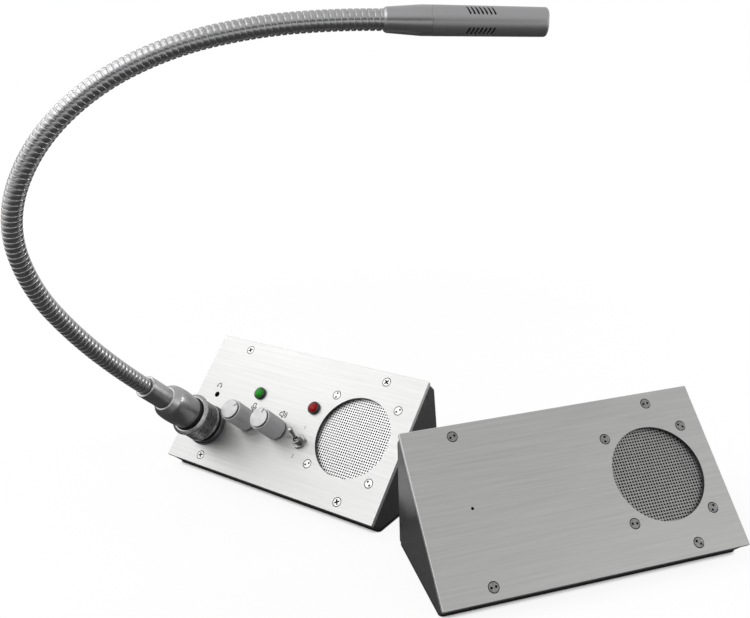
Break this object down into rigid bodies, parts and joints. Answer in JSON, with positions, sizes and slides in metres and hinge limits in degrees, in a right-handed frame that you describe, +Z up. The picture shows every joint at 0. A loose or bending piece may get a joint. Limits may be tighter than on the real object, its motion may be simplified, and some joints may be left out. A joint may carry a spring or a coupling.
{
  "type": "teller window intercom",
  "caption": "Counter intercom: a sloped teller station with gooseneck microphone, knobs, lamps and mute toggle, and a matching customer station, both with grilled speakers.",
  "frame": {"origin": "centre of the teller station's base pad, in the plane both stations stand on", "axes": "+Z up, +X along the teller station's width from the microphone end to the speaker end, -Y the side its front plate faces; the customer station stands at +X, turned 50.9 degrees about +Z"},
  "size_m": [0.4306, 0.2988, 0.3517],
  "materials": {
    "brushed_plate": "stainless sheet, brushed along its width",
    "dark_coat": "satin dark grey baked enamel",
    "stainless_hardware": "stainless screws and nuts",
    "grille_sheet": "perforated steel sheet, dull",
    "knob_metal": "turned aluminium, spun cap and fine straight knurl",
    "shaft_metal": "nickel-plated brass",
    "black_plastic": "black moulded plastic",
    "bezel_black": "glossy black moulding",
    "green_lens": "translucent green lens",
    "red_lens": "translucent red lens",
    "switch_metal": "bright nickel plating",
    "connector_dark": "dark zinc shell",
    "connector_bright": "nickel-plated brass, knurled",
    "connector_satin": "satin nickel plating",
    "neck_steel": "dark wound steel hose",
    "mic_satin": "satin grey enamel",
    "rubber_black": "black rubber",
    "cone_paper": "black pressed paper",
    "magnet_steel": "ferrite ring between steel plates",
    "board_green": "glass-epoxy circuit board",
    "sink_metal": "black anodised extrusion"
  },
  "bodies": {
    "stations": {"teller_front_plate": "brushed_plate", "customer_front_plate": "brushed_plate", "teller_housing": "dark_coat", "customer_housing": "dark_coat", "teller_corner_screws": "stainless_hardware", "spanner_screws": "stainless_hardware", "corner_nuts": "stainless_hardware", "speaker_nuts": "stainless_hardware", "teller_grille": "grille_sheet", "customer_grille": "grille_sheet", "teller_speaker_gasket": "rubber_black", "customer_speaker_gasket": "rubber_black", "teller_speaker_frame": "stainless_hardware", "customer_speaker_frame": "stainless_hardware", "teller_speaker_cone": "cone_paper", "customer_speaker_cone": "cone_paper", "teller_speaker_magnet": "magnet_steel", "customer_speaker_magnet": "magnet_steel", "teller_link_socket": "black_plastic", "customer_link_socket": "black_plastic", "power_inlet": "black_plastic", "amplifier_board": "board_green", "amplifier_heat_sink": "sink_metal", "board_capacitors": "sink_metal", "board_standoffs": "shaft_metal", "talk_pot": "shaft_metal", "listen_pot": "shaft_metal", "pot_nuts": "stainless_hardware", "lamp_bezels": "bezel_black", "green_lamp_lens": "green_lens", "red_lamp_lens": "red_lens", "mute_switch_body": "switch_metal", "mute_switch_nut": "switch_metal", "headset_jack": "black_plastic", "mic_receptacle": "connector_dark", "receptacle_nut": "stainless_hardware", "plug_gasket": "rubber_black", "mic_plug_shell": "connector_satin", "neck_sleeve": "connector_satin", "customer_mic_capsule": "magnet_steel", "base_pads": "rubber_black", "neck_link_1": "neck_steel"},
    "talk_knob": {"talk_knob": "knob_metal", "talk_shaft": "shaft_metal"},
    "listen_knob": {"listen_knob": "knob_metal", "listen_shaft": "shaft_metal"},
    "mute_lever": {"mute_switch_lever": "switch_metal"},
    "coupling_ring": {"coupling_ring": "connector_bright"},
    "neck_2": {"neck_link_2": "neck_steel"},
    "neck_3": {"neck_link_3": "neck_steel"},
    "neck_4": {"neck_link_4": "neck_steel"},
    "neck_5": {"neck_link_5": "neck_steel"},
    "neck_6": {"neck_link_6": "neck_steel"},
    "neck_7": {"neck_link_7": "neck_steel"},
    "neck_8": {"neck_link_8": "neck_steel"},
    "neck_9": {"neck_link_9": "neck_steel", "mic_collar": "mic_satin", "mic_barrel": "mic_satin", "mic_end_cap": "mic_satin", "mic_capsule": "magnet_steel"}
  },
  "joints": [
    {"name": "talk_knob_turn", "type": "hinge", "parent": "stations", "child": "talk_knob", "pos_m": [-0.0398, -0.02017, 0.044], "axis": [0, -0.7071, 0.7071], "range_deg": [-105, 195]},
    {"name": "listen_knob_turn", "type": "hinge", "parent": "stations", "child": "listen_knob", "pos_m": [-0.0088, -0.02017, 0.044], "axis": [0, -0.7071, 0.7071], "range_deg": [-137, 163]},
    {"name": "mute_lever_tilt", "type": "hinge", "parent": "stations", "child": "mute_lever", "pos_m": [0.0174, -0.0259, 0.04421], "axis": [1, 0, 0], "range_deg": [0, 33]},
    {"name": "coupling_ring_turn", "type": "hinge", "parent": "stations", "child": "coupling_ring", "pos_m": [-0.0767, -0.03934, 0.04463], "axis": [0, -0.7071, 0.7071], "range_deg": [0, 360]},
    {"name": "neck_1_bend", "type": "hinge", "parent": "stations", "child": "neck_2", "pos_m": [-0.07734, -0.12023, 0.12865], "axis": [-0.8678, 0.3944, 0.3023], "range_deg": [-22, 12]},
    {"name": "neck_2_swing", "type": "hinge", "parent": "neck_2", "child": "neck_3", "pos_m": [-0.07693, -0.15047, 0.16927], "axis": [-0.6343, -0.6601, -0.4024], "range_deg": [-20, 20]},
    {"name": "neck_3_bend", "type": "hinge", "parent": "neck_3", "child": "neck_4", "pos_m": [-0.06951, -0.17218, 0.21419], "axis": [-0.8254, 0.432, 0.3636], "range_deg": [-22, 12]},
    {"name": "neck_4_swing", "type": "hinge", "parent": "neck_4", "child": "neck_5", "pos_m": [-0.05076, -0.17534, 0.2605], "axis": [-0.279, -0.8987, 0.3384], "range_deg": [-20, 20]},
    {"name": "neck_5_bend", "type": "hinge", "parent": "neck_5", "child": "neck_6", "pos_m": [-0.02451, -0.1569, 0.29922], "axis": [-0.7174, 0.6961, 0.0269], "range_deg": [-22, 12]},
    {"name": "neck_6_swing", "type": "hinge", "parent": "neck_6", "child": "neck_7", "pos_m": [0.00609, -0.12637, 0.32529], "axis": [-0.3765, -0.1541, 0.9135], "range_deg": [-20, 20]},
    {"name": "neck_7_bend", "type": "hinge", "parent": "neck_7", "child": "neck_8", "pos_m": [0.04096, -0.09249, 0.33921], "axis": [-0.6366, 0.7357, -0.2313], "range_deg": [-22, 12]},
    {"name": "neck_8_swing", "type": "hinge", "parent": "neck_8", "child": "neck_9", "pos_m": [0.07829, -0.05863, 0.34416], "axis": [-0.2606, 0.2585, 0.9302], "range_deg": [-20, 20]}
  ]
}
